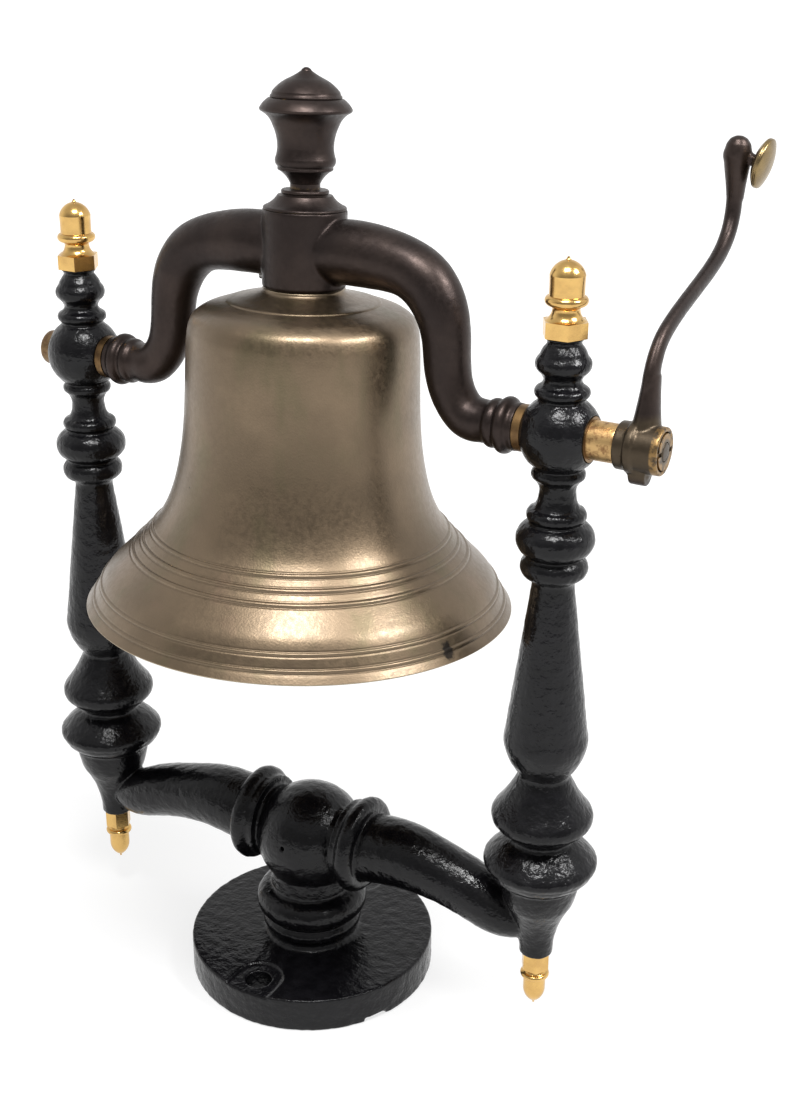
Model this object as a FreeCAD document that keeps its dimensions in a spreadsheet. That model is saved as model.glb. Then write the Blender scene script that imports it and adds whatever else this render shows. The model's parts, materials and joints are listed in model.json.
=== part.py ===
import FreeCAD, Part
import math
import os
import re
import Sketcher

# A locomotive bell on its cradle, in millimetres and degrees.
# The origin is the centre of the base's underside. +X points to the crank, -Y to the front, +Z up.
# The bell, its yoke and the crank turn together about the trunnions, which lie along X.
# Their sizes are measured from the trunnion axis with the bell upright, and then they hang at a slant.

Vector = FreeCAD.Vector
Rotation = FreeCAD.Rotation
Placement = FreeCAD.Placement
AXIS_X = Vector(1, 0, 0)
AXIS_Y = Vector(0, 1, 0)
AXIS_Z = Vector(0, 0, 1)
UPRIGHT = Rotation()
TO_RIGHT = Rotation(AXIS_Y, 90)
TO_LEFT = Rotation(AXIS_Y, -90)
TO_FRONT = Rotation(AXIS_X, 90)
UPSIDE_DOWN = Rotation(AXIS_X, 180)
FULL_TURN = 360
SAME_POINT = 1e-6

# Driving sizes. A size that belongs to one outline or path stands in OUTLINES or PATHS instead.
SIZES = {
    # Frame of the whole bell
    "trunnion_height": 666.5,
    "post_half_spacing": 274.0,
    "bell_side_to_post": 161.0,
    "hang_angle": 2.9,
    "seat_height": 202.0,
    "cup_bottom_height": 107.0,
    # Fits between pieces
    "thread_clearance": 0.05,
    "running_clearance": 0.06,
    "bolt_clearance": 0.4,
    "end_float": 0.4,
    # Length by which a cutting tool or a hidden root runs past what it must reach
    "run_past": 6.0,
    # Cradle
    "base_radius": 135.0,
    "base_thickness": 39.5,
    "base_bevel": 1.5,
    "bolt_hole_radius": 13.4,
    "bolt_circle_radius": 108.0,
    "spot_face_radius": 26.5,
    "spot_face_depth": 2.5,
    "rim_notch_width": 26.0,
    "rim_notch_height": 5.0,
    "rim_notch_depth": 7.0,
    "rim_notch_direction": -27.5,
    "cradle_ball_height": 160.0,
    "cradle_ball_radius": 59.5,
    "cradle_ball_neck_radius": 45.0,
    "pin_hole_radius": 2.3,
    "pin_hole_depth": 12.0,
    "pin_hole_rise": 11.7,
    "collar_rise": 7.5,
    "collar_bead_radius": 10.5,
    "collar_bead_reach": 52.5,
    "collar_distance": 66.5,
    "collar_step_radius": 46.0,
    "collar_step_distance": 48.0,
    # Posts
    "post_ball_radius": 38.6,
    "post_top_rise": 90.0,
    "spot_distance": 31.5,
    "spot_radius": 23.0,
    "oil_way_radius": 2.5,
    "stud_radius": 8.0,
    "stud_depth_in_post": 75.0,
    "stud_depth_in_nut": 34.0,
    "stud_hole_run_out": 3.0,
    "oil_plug_radius": 6.5,
    "oil_plug_length": 14.0,
    "oil_plug_run_out": 2.0,
    # Trunnion bushes
    "bush_outer_radius": 20.9,
    "bush_flange_radius": 21.9,
    "bush_flange_thickness": 7.6,
    # Acorns
    "plug_hex_radius": 21.6,
    "plug_hex_height": 14.5,
    "foot_hex_radius": 15.0,
    "foot_hex_height": 20.0,
    # Yoke
    "journal_radius": 18.2,
    "journal_bevel": 1.5,
    "left_trunnion_reach": 27.5,
    "crank_shoulder_reach": 25.5,
    "crank_seat_radius": 15.0,
    "crank_thread_radius": 9.0,
    "hub_radius": 40.5,
    "hub_bottom": 100.5,
    "hub_top": 175.0,
    "hub_rounding": 4.0,
    "hub_top_bevel": 1.2,
    "yoke_arm_level": 138.6,
    "stem_radius": 13.0,
    "stem_shank_top": 168.0,
    "finial_thread_radius": 9.5,
    "finial_thread_top": 246.0,
    "finial_thread_run_out": 3.0,
    "spigot_radius": 30.0,
    "spigot_height": 8.0,
    "spigot_gap": 0.6,
    # Index pin between yoke and bell
    "index_pin_radius": 3.4,
    "index_pin_level": 104.3,
    "index_pin_direction": 168.0,
    "index_pin_inner": 25.0,
    "index_pin_outer": 59.0,
    # Bell crown and clapper suspension
    "crown_underside": 79.0,
    "crown_washer_radius": 34.0,
    "crown_washer_thickness": 4.0,
    "stem_flange_radius": 26.0,
    "stem_flange_thickness": 9.0,
    "clapper_pin_level": 38.0,
    "clapper_pin_radius": 5.5,
    "clapper_pin_head_radius": 9.0,
    "clapper_pin_head_thickness": 5.0,
    "clapper_pin_overhang": 9.0,
    "fork_gap": 14.0,
    "fork_cheek": 9.0,
    "fork_depth": 28.0,
    "fork_head_room": 15.0,
    "eye_radius": 13.0,
    "eye_side_clearance": 0.8,
    "cotter_radius": 1.3,
    "cotter_length": 20.0,
    "cotter_eye_radius": 3.2,
    "cotter_edge": 4.0,
    # Clapper
    "clapper_drop": 228.0,
    "clapper_ball_radius": 27.0,
    "clapper_neck_radius": 8.0,
    "clapper_shank_radius": 6.0,
    "clapper_shank_length": 22.0,
    "clapper_tail_radius": 11.0,
    "clapper_tail_length": 14.0,
    # Crank
    "crank_hub_radius": 22.0,
    "crank_hub_length": 42.0,
    "crank_rib_radius": 24.2,
    "crank_rib_inset": 11.0,
    "crank_rib_width": 7.0,
    "crank_recess_radius": 17.5,
    "crank_recess_depth": 6.5,
    "crank_plane_inset": 21.0,
    "crank_tail_radius": 11.5,
    "crank_tail_drop": 22.0,
    "crank_tail_thickness": 16.0,
    "crank_head_radius": 13.2,
    "crank_head_side": 187.5,
    "crank_head_level": 237.0,
    "crank_key_size": 6.0,
    "crank_key_length": 30.0,
    "crank_key_inset": 2.0,
    "crank_nut_radius": 16.5,
    "crank_nut_thickness": 7.0,
    "crank_nut_slot_width": 4.0,
    "crank_nut_slot_depth": 2.0,
    "crank_thread_overhang": 0.8,
    "crank_boss_radius": 9.5,
    "crank_boss_neck": 5.2,
    "crank_boss_length": 19.0,
    "button_rivet_radius": 3.5,
    "button_rivet_depth": 14.0,
}

# Distances from the middle of the bell along the trunnions, whose reaches start at the posts' outer faces
BELL_SIDE = "post_half_spacing - bell_side_to_post"
SHOULDER = "post_half_spacing - spot_distance - bush_flange_thickness - end_float"
LEFT_TRUNNION_END = "post_half_spacing + spot_distance + left_trunnion_reach"
CRANK_SHOULDER = "post_half_spacing + spot_distance + crank_shoulder_reach"
CRANK_PLANE = f"{CRANK_SHOULDER} + crank_plane_inset"
RECESS_FLOOR = f"{CRANK_SHOULDER} + crank_hub_length - crank_recess_depth"
# Levels in the swinging frame and above the floor, and a bore that two pieces share
DOME_TOP = "hub_top + dome_washer_top_edge_height"
POST_TOP = "trunnion_height + post_top_rise"
STEM_HOLE = "stem_radius + bolt_clearance"

# Turned outlines. Each part of an outline has the level that its heights are measured from, and stations
# of (radius, height). An arc that ends at a station adds its kind and amount: bulge is the rise of an arc
# that swells out, hollow that of one that draws in, and round is the radius of one that swells out.
# The metal lies on the left of the way round. A number is a size, and words are tied to other sizes.
# Where a second origin is given, the radii are measured from it too.
OUTLINES = {
    # Base disc, pedestal and ball
    "cradle_core": [
        ("0", {
            "centre": ("0", "0"),
            "floor_edge": ("base_radius - base_bevel", "0"),
            "rim_foot": ("base_radius", "base_bevel"),
            "rim_head": ("base_radius", "base_thickness - base_bevel"),
            "top_edge": ("base_radius - base_bevel", "base_thickness"),
        }),
        ("base_thickness", {
            "neck_foot": (57.0, "0"),
            "neck": (50.0, 6.5, "hollow", 2.0),
            "lower_bead_foot": ("cradle_core_neck_radius", 9.0),
            "lower_bead_head": (50.5, 24.5, "bulge", 4.8),
            "upper_bead_foot": (51.0, 26.5),
            "upper_bead_head": (47.0, 59.0, "bulge", 12.5),
            "ball_neck": ("cradle_ball_neck_radius", 64.5, "hollow", 1.2),
        }),
        ("cradle_ball_height", {
            "ball_foot": (
                "cradle_ball_neck_radius",
                "-sqrt(cradle_ball_radius^2 - cradle_ball_neck_radius^2)",
            ),
            "ball_side": ("cradle_ball_radius", "0", "round", "cradle_ball_radius"),
            "ball_top": ("0", "cradle_ball_radius", "round", "cradle_ball_radius"),
        }),
    ],
    # Cup that carries a post
    "cup": [
        ("cup_bottom_height", {
            "bottom": ("0", "0"),
            "bottom_edge": (17.6, "0"),
            "stem": (19.2, 22.0, "hollow", 0.4),
        }),
        ("seat_height", {
            "flare": (35.0, -33.0, "hollow", 2.0),
            "lip_foot": (41.0, -6.0, "bulge", 1.0),
            "lip": (46.5, -2.5, "hollow", 0.8),
            "lip_edge": ("cup_lip_radius", "0"),
            "seat": ("0", "0"),
        }),
    ],
    "post": [
        ("seat_height", {
            "stud_hole_end": ("0", "stud_depth_in_post + stud_hole_run_out"),
            "stud_hole_top": ("stud_radius + thread_clearance", "stud_depth_in_post + stud_hole_run_out"),
            "stud_hole_mouth": ("stud_radius + thread_clearance", "0"),
            "foot": (47.0, "0"),
            "flange_foot": (55.5, 11.0, "bulge", 1.2),
            "flange_head": (56.5, 21.0, "bulge", 1.6),
            "lower_neck_foot": (33.5, 41.0, "bulge", 1.5),
            "lower_neck_head": (33.0, 48.0, "hollow", 1.6),
            "vase_foot": (49.0, 62.0, "bulge", 0.8),
            "vase_head": (48.5, 77.0, "bulge", 2.4),
            "vase_neck": (26.4, 114.0, "hollow", 1.6),
            "column_foot": (27.0, 119.0, "hollow", 0.6),
            "column_swell": (40.2, 145.0, "bulge", 1.6),
            "column_girth": (40.4, 164.0, "bulge", 1.4),
        }),
        ("trunnion_height", {
            "column_top": (20.6, -147.5),
            "ring_four_foot": (26.5, -138.5, "hollow", 2.2),
            "ring_four_head": (27.5, -119.0, "bulge", 5.2),
            "bulb_foot": (26.5, -116.5, "hollow", 0.5),
            "bulb_head": (26.5, -84.5, "bulge", 10.9),
            "ring_three_foot": (25.5, -82.5, "hollow", 0.5),
            "ring_three_head": (22.5, -70.0, "bulge", 4.4),
            "middle_neck": (17.8, -57.5, "hollow", 1.2),
            "ring_two_foot": (22.0, -42.5, "hollow", 2.0),
            "ring_two_head": (
                "post_ring_two_foot_radius",
                "-sqrt(post_ball_radius^2 - post_ring_two_foot_radius^2)",
                "bulge",
                3.6,
            ),
            "ball_side": ("post_ball_radius", "0", "round", "post_ball_radius"),
            "ball_head": (
                "post_ring_two_foot_radius",
                "sqrt(post_ball_radius^2 - post_ring_two_foot_radius^2)",
                "round",
                "post_ball_radius",
            ),
            "ring_one_foot": ("post_ring_two_foot_radius", 34.5),
            "ring_one_head": ("post_ring_two_foot_radius", 45.0, "bulge", 3.8),
            "upper_neck": (17.6, 50.5, "hollow", 0.8),
            "top_bulb_foot": (22.5, 58.0, "hollow", 0.8),
            "top_bulb_head": (22.5, 73.0, "bulge", 3.4),
            "top_neck": (15.6, 84.0, "bulge", 0.8),
            "top_flare": (18.0, 88.0, "hollow", 0.6),
        }),
        (POST_TOP, {
            "top_edge": ("post_top_flare_radius", "0"),
            "plug_hole_mouth": ("oil_plug_radius + thread_clearance", "0"),
            "plug_hole_floor": ("oil_plug_radius + thread_clearance", "-oil_plug_length - oil_plug_run_out"),
            "oil_way_head": ("oil_way_radius", "-oil_plug_length - oil_plug_run_out"),
            "oil_way_foot": ("oil_way_radius", "-post_top_rise"),
            "ball_middle": ("0", "-post_top_rise"),
        }),
    ],
    # Acorns, heights from the face of the hexagon that seats
    "plug_dome": [
        ("plug_hex_height", {
            "root": ("0", "-plug_hex_height / 2"),
            "root_edge": (18.4, "-plug_hex_height / 2"),
            "shoulder": ("plug_dome_root_edge_radius", "0"),
            "cove": (12.5, 10.0, "hollow", 1.6),
            "bead_foot": (15.6, 13.0, "hollow", 0.7),
            "bead_head": (15.8, 22.0, "bulge", 3.7),
            "dome_foot": (16.0, 40.0, "hollow", 0.2),
            "dome_head": (3.0, 52.8, "bulge", 2.6),
            "nib": (1.2, 55.4, "hollow", 0.4),
            "nib_top": ("0", 56.2),
        }),
    ],
    "foot_dome": [
        ("foot_hex_height", {
            "root": ("0", "-foot_hex_height / 2"),
            "root_edge": (12.4, "-foot_hex_height / 2"),
            "shoulder": ("foot_dome_root_edge_radius", "0"),
            "cove": (10.8, 3.2, "hollow", 0.5),
            "bead_foot": (12.4, 4.8, "hollow", 0.3),
            "bead_head": (11.4, 10.8, "bulge", 3.0),
            "dome_foot": ("foot_dome_bead_head_radius", 26.0),
            "dome_head": (2.6, 42.0, "bulge", 2.2),
            "nib": (1.0, 45.4, "hollow", 0.4),
            "nib_top": ("0", 46.1),
        }),
    ],
    # Bush, heights from the middle of the post's ball towards the yoke
    "bush": [
        ("0", {
            "tail_bore": ("journal_radius + running_clearance", "-spot_distance"),
            "tail_edge": ("bush_outer_radius", "-spot_distance"),
            "flange_root": ("bush_outer_radius", "spot_distance"),
            "flange_foot": ("bush_flange_radius", "spot_distance"),
            "flange_head": ("bush_flange_radius", "spot_distance + bush_flange_thickness"),
            "flange_bore": ("journal_radius + running_clearance", "spot_distance + bush_flange_thickness"),
        }),
    ],
    "yoke_hub": [
        ("hub_bottom", {
            "bottom": ("0", "0"),
            "bottom_edge": ("hub_radius - hub_rounding", "0"),
            "rounding": ("hub_radius", "hub_rounding", "round", "hub_rounding"),
        }),
        ("hub_top", {
            "bevel": ("hub_radius", "-hub_top_bevel"),
            "top_edge": ("hub_radius - hub_top_bevel", "0"),
            "top": ("0", "0"),
        }),
    ],
    # Beads where an arm of the yoke meets its trunnion, heights outward from the middle of the bell
    "trunnion_beads": [
        (SHOULDER, {
            "root": ("0", -44.0),
            "root_edge": (20.2, "trunnion_beads_root_height"),
            "small_foot": (20.5, -31.0),
            "small_head": (20.5, -20.0, "bulge", 3.0),
            "large_foot": (21.5, -19.5),
            "large_head": (21.5, -6.5, "bulge", 5.5),
            "shoulder_foot": (22.5, -6.0),
            "shoulder_edge": ("trunnion_beads_shoulder_foot_radius", "0"),
            "shoulder": ("0", "0"),
        }),
    ],
    "left_journal": [
        (SHOULDER, {
            "root": ("0", "-run_past"),
            "root_edge": ("journal_radius", "-run_past"),
        }),
        (LEFT_TRUNNION_END, {
            "bevel": ("journal_radius", "-journal_bevel"),
            "end_edge": ("journal_radius - journal_bevel", "0"),
            "end": ("0", "0"),
        }),
    ],
    "right_journal": [
        (SHOULDER, {
            "root": ("0", "-run_past"),
            "root_edge": ("journal_radius", "-run_past"),
        }),
        (CRANK_SHOULDER, {
            "shoulder_edge": ("journal_radius", "0"),
            "seat_foot": ("crank_seat_radius", "0"),
        }),
        (RECESS_FLOOR, {
            "seat_head": ("crank_seat_radius", "-end_float"),
            "thread_foot": ("crank_thread_radius", "-end_float"),
            "thread_head": ("crank_thread_radius", "crank_nut_thickness + crank_thread_overhang"),
            "end": ("0", "crank_nut_thickness + crank_thread_overhang"),
        }),
    ],
    # Bell, heights from its seat under the yoke
    "bell_casting": [
        ("hub_bottom", {
            "spigot_bore": (STEM_HOLE, "spigot_height"),
            "crown_bore": (STEM_HOLE, "crown_underside - hub_bottom"),
        }),
        ("hub_bottom", BELL_SIDE, {
            "inner_crown": (-35.0, "crown_underside - hub_bottom"),
            "inner_shoulder": (-14.0, -55.5, "hollow", 7.8),
            "inner_side": (-11.0, -120.5),
            "inner_waist": (-1.0, -200.5, "bulge", 1.4),
            "inner_flare": (33.0, -260.5, "bulge", 3.0),
            "inner_bow": (57.0, -295.5, "bulge", 0.8),
            "inner_lip": (92.5, -318.4),
            "lip": (102.9, -318.0, "bulge", 1.6),
            "rim_line_foot": (95.9, -310.0, "hollow", 0.4),
            "rim_line_head": (94.1, -307.0, "bulge", 0.9),
            "bow_line_foot": (88.6, -296.6),
            "bow_line_head": (87.4, -293.4, "bulge", 0.9),
            "bow": (72.0, -276.0, "bulge", 1.4),
            "third_line_foot": (57.6, -261.7),
            "third_line_head": (54.2, -258.5, "bulge", 0.9),
            "second_line_foot": (46.7, -251.6),
            "second_line_head": (44.1, -248.4, "bulge", 0.9),
            "first_line_foot": (37.8, -240.5),
            "first_line_head": (35.3, -237.3, "bulge", 0.9),
            "waist": (9.0, -180.5, "hollow", 3.0),
            "side_foot": (1.5, -92.5, "hollow", 1.2),
            "side_head": (0.0, -50.0),
            "shoulder": (-5.4, -28.0, "bulge", 1.3),
            "crown_edge": (-27.0, -16.0, "bulge", 1.1),
            "crown_line_foot": (-38.4, -12.9),
            "crown_line_head": (-39.1, -12.1),
        }),
        ("hub_bottom", {
            "crown": (45.0, -5.0, "hollow", 0.2),
            "boss_foot": (39.8, -2.5, "hollow", 0.6),
            "boss_edge": ("bell_casting_boss_foot_radius", "0"),
            "spigot_foot": ("spigot_radius", "0"),
            "spigot_edge": ("spigot_radius", "spigot_height"),
        }),
    ],
    "stem_turning": [
        ("crown_underside - crown_washer_thickness", {
            "flange_centre": ("0", "-stem_flange_thickness"),
            "flange_foot": ("stem_flange_radius", "-stem_flange_thickness"),
            "flange_head": ("stem_flange_radius", "0"),
            "shank_foot": ("stem_radius", "0"),
        }),
        ("0", {
            "shank_head": ("stem_radius", "stem_shank_top"),
            "thread_foot": ("finial_thread_radius", "stem_shank_top"),
            "thread_head": ("finial_thread_radius", "finial_thread_top"),
            "end": ("0", "finial_thread_top"),
        }),
    ],
    "crown_washer": [
        ("crown_underside", {
            "bore_foot": (STEM_HOLE, "-crown_washer_thickness"),
            "rim_foot": ("crown_washer_radius", "-crown_washer_thickness"),
            "rim_head": ("crown_washer_radius", "0"),
            "bore_head": (STEM_HOLE, "0"),
        }),
    ],
    "dome_washer": [
        ("hub_top", {
            "bore_foot": ("finial_thread_radius + bolt_clearance", "0"),
            "rim_foot": (39.6, "0"),
            "rim_head": (38.0, 2.4, "bulge", 0.5),
            "flank": (26.0, 12.5, "hollow", 1.2),
            "step": (22.0, 14.0, "hollow", 0.3),
            "bead_head": (21.6, 17.6, "bulge", 0.9),
            "top_edge": (15.0, 18.5, "hollow", 0.3),
            "bore_head": ("finial_thread_radius + bolt_clearance", "dome_washer_top_edge_height"),
        }),
    ],
    "finial": [
        ("finial_thread_top + finial_thread_run_out", {
            "thread_end": ("0", "0"),
            "thread_top": ("finial_thread_radius + thread_clearance", "0"),
        }),
        (DOME_TOP, {
            "thread_mouth": ("finial_thread_radius + thread_clearance", "0"),
            "neck_foot": (14.2, "0"),
            "neck": ("finial_neck_foot_radius", 4.5),
            "cup": (24.6, 16.4, "hollow", 1.2),
            "lower_ridge": (26.0, 19.0, "bulge", 0.8),
            "upper_ridge_foot": (27.4, 21.4, "hollow", 0.3),
            "upper_ridge_head": (27.9, 28.6, "bulge", 0.9),
            "waist_foot": (26.4, 37.0, "hollow", 0.3),
            "waist_head": (31.0, 57.0, "hollow", 1.2),
            "brim_underside": (41.4, 69.0, "hollow", 1.6),
            "brim_edge": (43.2, 72.0, "bulge", 0.6),
            "brim_head": (35.0, 81.0, "bulge", 0.8),
            "cap_step": (33.0, 81.6),
            "cap_bead": (32.6, 84.0, "bulge", 0.7),
            "cap_foot": (31.5, 87.0, "hollow", 0.2),
            "cap": (16.0, 99.0, "bulge", 1.2),
            "cap_neck": (5.0, 105.5, "hollow", 0.3),
            "tip_edge": (1.2, 108.5, "bulge", 0.5),
            "tip": ("0", "finial_tip_edge_height"),
        }),
    ],
    # Clapper rod and ball, heights from the clapper's pin
    "clapper_turning": [
        ("-clapper_drop", {
            "tail_end": ("0", "-clapper_ball_radius - clapper_tail_length"),
            "tail_edge": ("clapper_tail_radius", "-clapper_ball_radius - clapper_tail_length"),
            "tail_root": ("clapper_tail_radius", "-sqrt(clapper_ball_radius^2 - clapper_tail_radius^2)"),
            "ball_side": ("clapper_ball_radius", "0", "round", "clapper_ball_radius"),
            "ball_head": (
                "clapper_neck_radius",
                "sqrt(clapper_ball_radius^2 - clapper_neck_radius^2)",
                "round",
                "clapper_ball_radius",
            ),
        }),
        ("0", {
            "shank_foot": ("clapper_shank_radius", "-clapper_shank_length"),
            "shank_head": ("clapper_shank_radius", "-clapper_pin_radius"),
            "shank_top": ("0", "-clapper_pin_radius"),
        }),
    ],
    # Rope button, heights outward from the end of the crank's boss
    "rope_button": [
        ("0", {
            "rivet_end": ("0", "-button_rivet_depth"),
            "rivet_edge": ("button_rivet_radius", "-button_rivet_depth"),
            "rivet_root": ("button_rivet_radius", "0"),
            "back_centre": (6.5, "0"),
            "back": (21.6, 5.4, "bulge", 1.0),
            "rim": (23.0, 8.6, "bulge", 0.7),
            "brim": (22.2, 10.8, "bulge", 0.4),
            "front_edge": (1.2, 15.0, "bulge", 1.2),
            "front": ("0", "rope_button_front_edge_height"),
        }),
    ],
}

# Curved arms. Each part of a path has the points that its distances along and its rises are measured from,
# and stations of (along, rise, slope, half width in the plane of the path, half thickness across it).
# A round section has one radius in place of the last two.
PATHS = {
    "cradle_arm": [
        ("0", "cradle_ball_height", {
            "root": (42.0, 7.0, 1.0, 38.0),
            "shoulder": (88.0, 8.7, 3.0, 37.3),
        }),
        ("post_half_spacing", "cradle_ball_height", {
            "crest": (-149.0, 11.0, -1.5, 35.4),
        }),
        ("post_half_spacing", "seat_height", {
            "slope": (-114.0, -36.5, -11.5, 32.3),
            "fall": (-71.0, -48.0, -18.0, 30.3),
            "wrist": (-51.0, -56.0, -20.0, 28.8),
            "cup": (-8.0, -65.0, -12.0, 15.0),
        }),
    ],
    "yoke_arm": [
        ("0", "yoke_arm_level", {
            "root": (22.0, 0.0, 0.0, 30.5),
            "straight_middle": (
                "(yoke_arm_root_along + post_half_spacing + yoke_arm_straight_end_along) / 2",
                0.0,
                0.0,
                30.5,
            ),
        }),
        ("post_half_spacing", "yoke_arm_level", {
            "straight_end": (-210.0, 0.0, 0.0, 30.5),
        }),
        ("post_half_spacing", "0", {
            "shoulder": (-179.0, 135.5, -8.0, 28.5),
            "corner": (-146.0, 123.5, -38.0, 27.0),
            "upper_drop": (-125.0, 95.5, -68.0, 25.0),
            "middle_drop": (-119.0, 71.7, -83.0, 23.0),
            "lower_drop": (-117.0, 50.0, -86.0, 22.2),
            "heel": (-113.0, 30.0, -75.0, 21.5),
            "turn": (-100.0, 8.0, -40.0, 21.0),
            "trunnion": (-78.0, 0.0, 0.0, 20.5),
        }),
    ],
    # Crank arm, along its height above the trunnions and rising to its side
    "crank_arm": [
        ("0", "0", {
            "root": (12.0, 4.0, 4.0, 13.5, 8.0),
            "lower": (47.0, 7.0, 5.5, 12.0, 7.5),
            "bend": (70.0, 9.8, 16.0, 10.6, 7.0),
            "knee": (87.0, 20.0, 47.0, 9.4, 6.6),
            "incline_foot": (104.0, 47.0, 65.0, 8.8, 6.3),
            "incline": (119.0, 87.0, 71.0, 8.5, 6.25),
            "incline_head": (134.5, 132.0, 70.0, 8.7, 6.4),
            "upturn": (152.0, 169.0, 56.5, 9.2, 6.8),
            "elbow": (172.0, 188.0, 30.0, 9.6, 7.2),
            "neck": (190.0, 192.6, 0.0, 9.8, 7.4),
            "upper": (212.0, 190.4, -7.0, 10.0, 7.5),
            "head": (233.0, 188.0, -6.0, 9.5, 7.4),
        }),
    ],
}

doc = FreeCAD.newDocument("LocomotiveBell")
sheet = doc.addObject("Spreadsheet::Sheet", "Sizes")
aliases = []
pieces = []


def write_size(name, number):
    aliases.append(name)
    row = len(aliases)
    sheet.set(f"A{row}", name)
    sheet.set(f"B{row}", str(number))
    sheet.setAlias(f"B{row}", name)


def size_text(name, given):
    """Words stay as they are, and a number becomes a size of its own."""
    if isinstance(given, str):
        return given
    write_size(name, given)
    return name


def read_outline(part, groups):
    stations = []
    for level, *radial_origin, group in groups:
        for station, (radius, height, *arc) in group.items():
            name = f"{part}_{station}"
            radius_text = size_text(f"{name}_radius", radius)
            if radial_origin:
                radius_text = f"({radial_origin[0]}) + ({radius_text})"
            height_text = size_text(f"{name}_height", height)
            kind, amount = arc if arc else ("line", "0")
            amount_text = size_text(f"{name}_{kind}", amount)
            stations.append((radius_text, f"({level}) + ({height_text})", kind, amount_text))
    return stations


def read_path(part, groups):
    rings = []
    for along_origin, rise_origin, group in groups:
        for station, (along, rise, slope, wide, *thick) in group.items():
            name = f"{part}_{station}"
            along_text = size_text(f"{name}_along", along)
            rise_text = size_text(f"{name}_rise", rise)
            slope_text = size_text(f"{name}_slope", slope)
            wide_text = size_text(f"{name}_wide", wide)
            thick_text = size_text(f"{name}_thick", thick[0]) if thick else wide_text
            rings.append((
                station,
                f"({along_origin}) + ({along_text})",
                f"({rise_origin}) + ({rise_text})",
                slope_text,
                wide_text,
                thick_text,
            ))
    return rings


for size_name, size_value in SIZES.items():
    write_size(size_name, size_value)
outlines = {part: read_outline(part, groups) for part, groups in OUTLINES.items()}
paths = {part: read_path(part, groups) for part, groups in PATHS.items()}
doc.recompute()


def tied(text):
    """An expression in which each size is read from the sheet."""
    def with_sheet(match):
        word = match.group(0)
        return f"Sizes.{word}" if word in aliases else word

    return re.sub(r"[a-z][a-z0-9_]*", with_sheet, text)


def value(text):
    return float(sheet.evalExpression(tied(text)))


def bind(thing, **texts):
    for field, text in texts.items():
        thing.setExpression(field, tied(text))


def place(thing, x="0", y="0", z="0", turn=UPRIGHT):
    """Puts a thing at a bound point, turned a fixed way."""
    thing.Placement = Placement(Vector(value(x), value(y), value(z)), turn)
    for field, text in (("x", x), ("y", y), ("z", z)):
        if text != "0":
            thing.setExpression(f"Placement.Base.{field}", tied(text))


def hang(thing):
    """Hangs a thing of the swinging frame on the trunnions, at its slant."""
    place(thing, z="trunnion_height", turn=Rotation(-AXIS_X, value("hang_angle")))
    thing.setExpression("Placement.Rotation.Angle", tied("hang_angle"))


def hanging_frame():
    return Placement(Vector(0, 0, value("trunnion_height")), Rotation(-AXIS_X, value("hang_angle")))


def hang_by_frame(thing):
    """Hangs a thing that already has a place of its own in the swinging frame."""
    own_place = thing.Placement
    for field in ("x", "y", "z"):
        thing.setExpression(f"Placement.Base.{field}", None)
    thing.Placement = hanging_frame() * own_place


def keep(thing, label):
    thing.Label = label
    pieces.append(thing)


def edge(start, end, kind, amount):
    """A line or an arc of the outline, with the metal on its left."""
    if kind == "line":
        return Part.LineSegment(start, end)
    chord = end - start
    outward = Vector(chord.y, -chord.x, 0).normalize()
    rise = amount
    if kind == "hollow":
        rise = -amount
    if kind == "round":
        rise = amount - math.sqrt(amount ** 2 - chord.Length ** 2 / 4)
    return Part.Arc(start, (start + end) * 0.5 + outward * rise, end)


def arc_radius(start, end, kind, amount):
    """The radius of an arc, as an expression of its ends and its rise."""
    if kind == "round":
        return amount
    across = f"(({end[0]}) - ({start[0]}))^2"
    up = f"(({end[1]}) - ({start[1]}))^2"
    return f"({across} + {up}) / (8 * ({amount})) + ({amount}) / 2"


def draw_outline(body, part):
    """A closed sketch whose every point and radius is bound to the sheet."""
    sketch = body.newObject("Sketcher::SketchObject", f"{body.Name}_outline")
    plane = [item for item in body.Origin.OriginFeatures if item.Role == "XZ_Plane"][0]
    sketch.AttachmentSupport = (plane, [""])
    sketch.MapMode = "FlatFace"
    stations = outlines[part]
    points = [Vector(value(station[0]), value(station[1]), 0) for station in stations]
    following = list(range(1, len(stations))) + [0]
    for index, after in enumerate(following):
        kind, amount = stations[after][2:]
        sketch.addGeometry(edge(points[index], points[after], kind, value(amount)), False)

    starts = []
    for index, point in enumerate(points):
        at_start = sketch.getPoint(index, 1).distanceToPoint(point) < SAME_POINT
        starts.append(1 if at_start else 2)
    constraints = []
    texts = {}
    for index, after in enumerate(following):
        radius, height = stations[index][:2]
        start = starts[index]
        if radius == "0":
            constraints.append(Sketcher.Constraint("PointOnObject", index, start, -2))
        else:
            texts[len(constraints)] = radius
            constraints.append(Sketcher.Constraint("DistanceX", -1, 1, index, start, points[index].x))
        texts[len(constraints)] = height
        constraints.append(Sketcher.Constraint("DistanceY", -1, 1, index, start, points[index].y))
        constraints.append(Sketcher.Constraint("Coincident", index, 3 - start, after, starts[after]))
        kind, amount = stations[after][2:]
        if kind != "line":
            radius_text = arc_radius(stations[index], stations[after], kind, amount)
            texts[len(constraints)] = radius_text
            constraints.append(Sketcher.Constraint("Radius", index, value(radius_text)))
    sketch.addConstraint(constraints)
    for index, text in texts.items():
        sketch.setExpression(f"Constraints[{index}]", tied(text))
    return sketch


def turned(label, part):
    """A body of revolution about its own Z axis."""
    body = doc.addObject("PartDesign::Body", label)
    body.Label = label
    sketch = draw_outline(body, part)
    turning = body.newObject("PartDesign::Revolution", f"{label}_turning")
    turning.Profile = sketch
    turning.ReferenceAxis = (sketch, ["V_Axis"])
    turning.Angle = FULL_TURN
    return body


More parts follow.
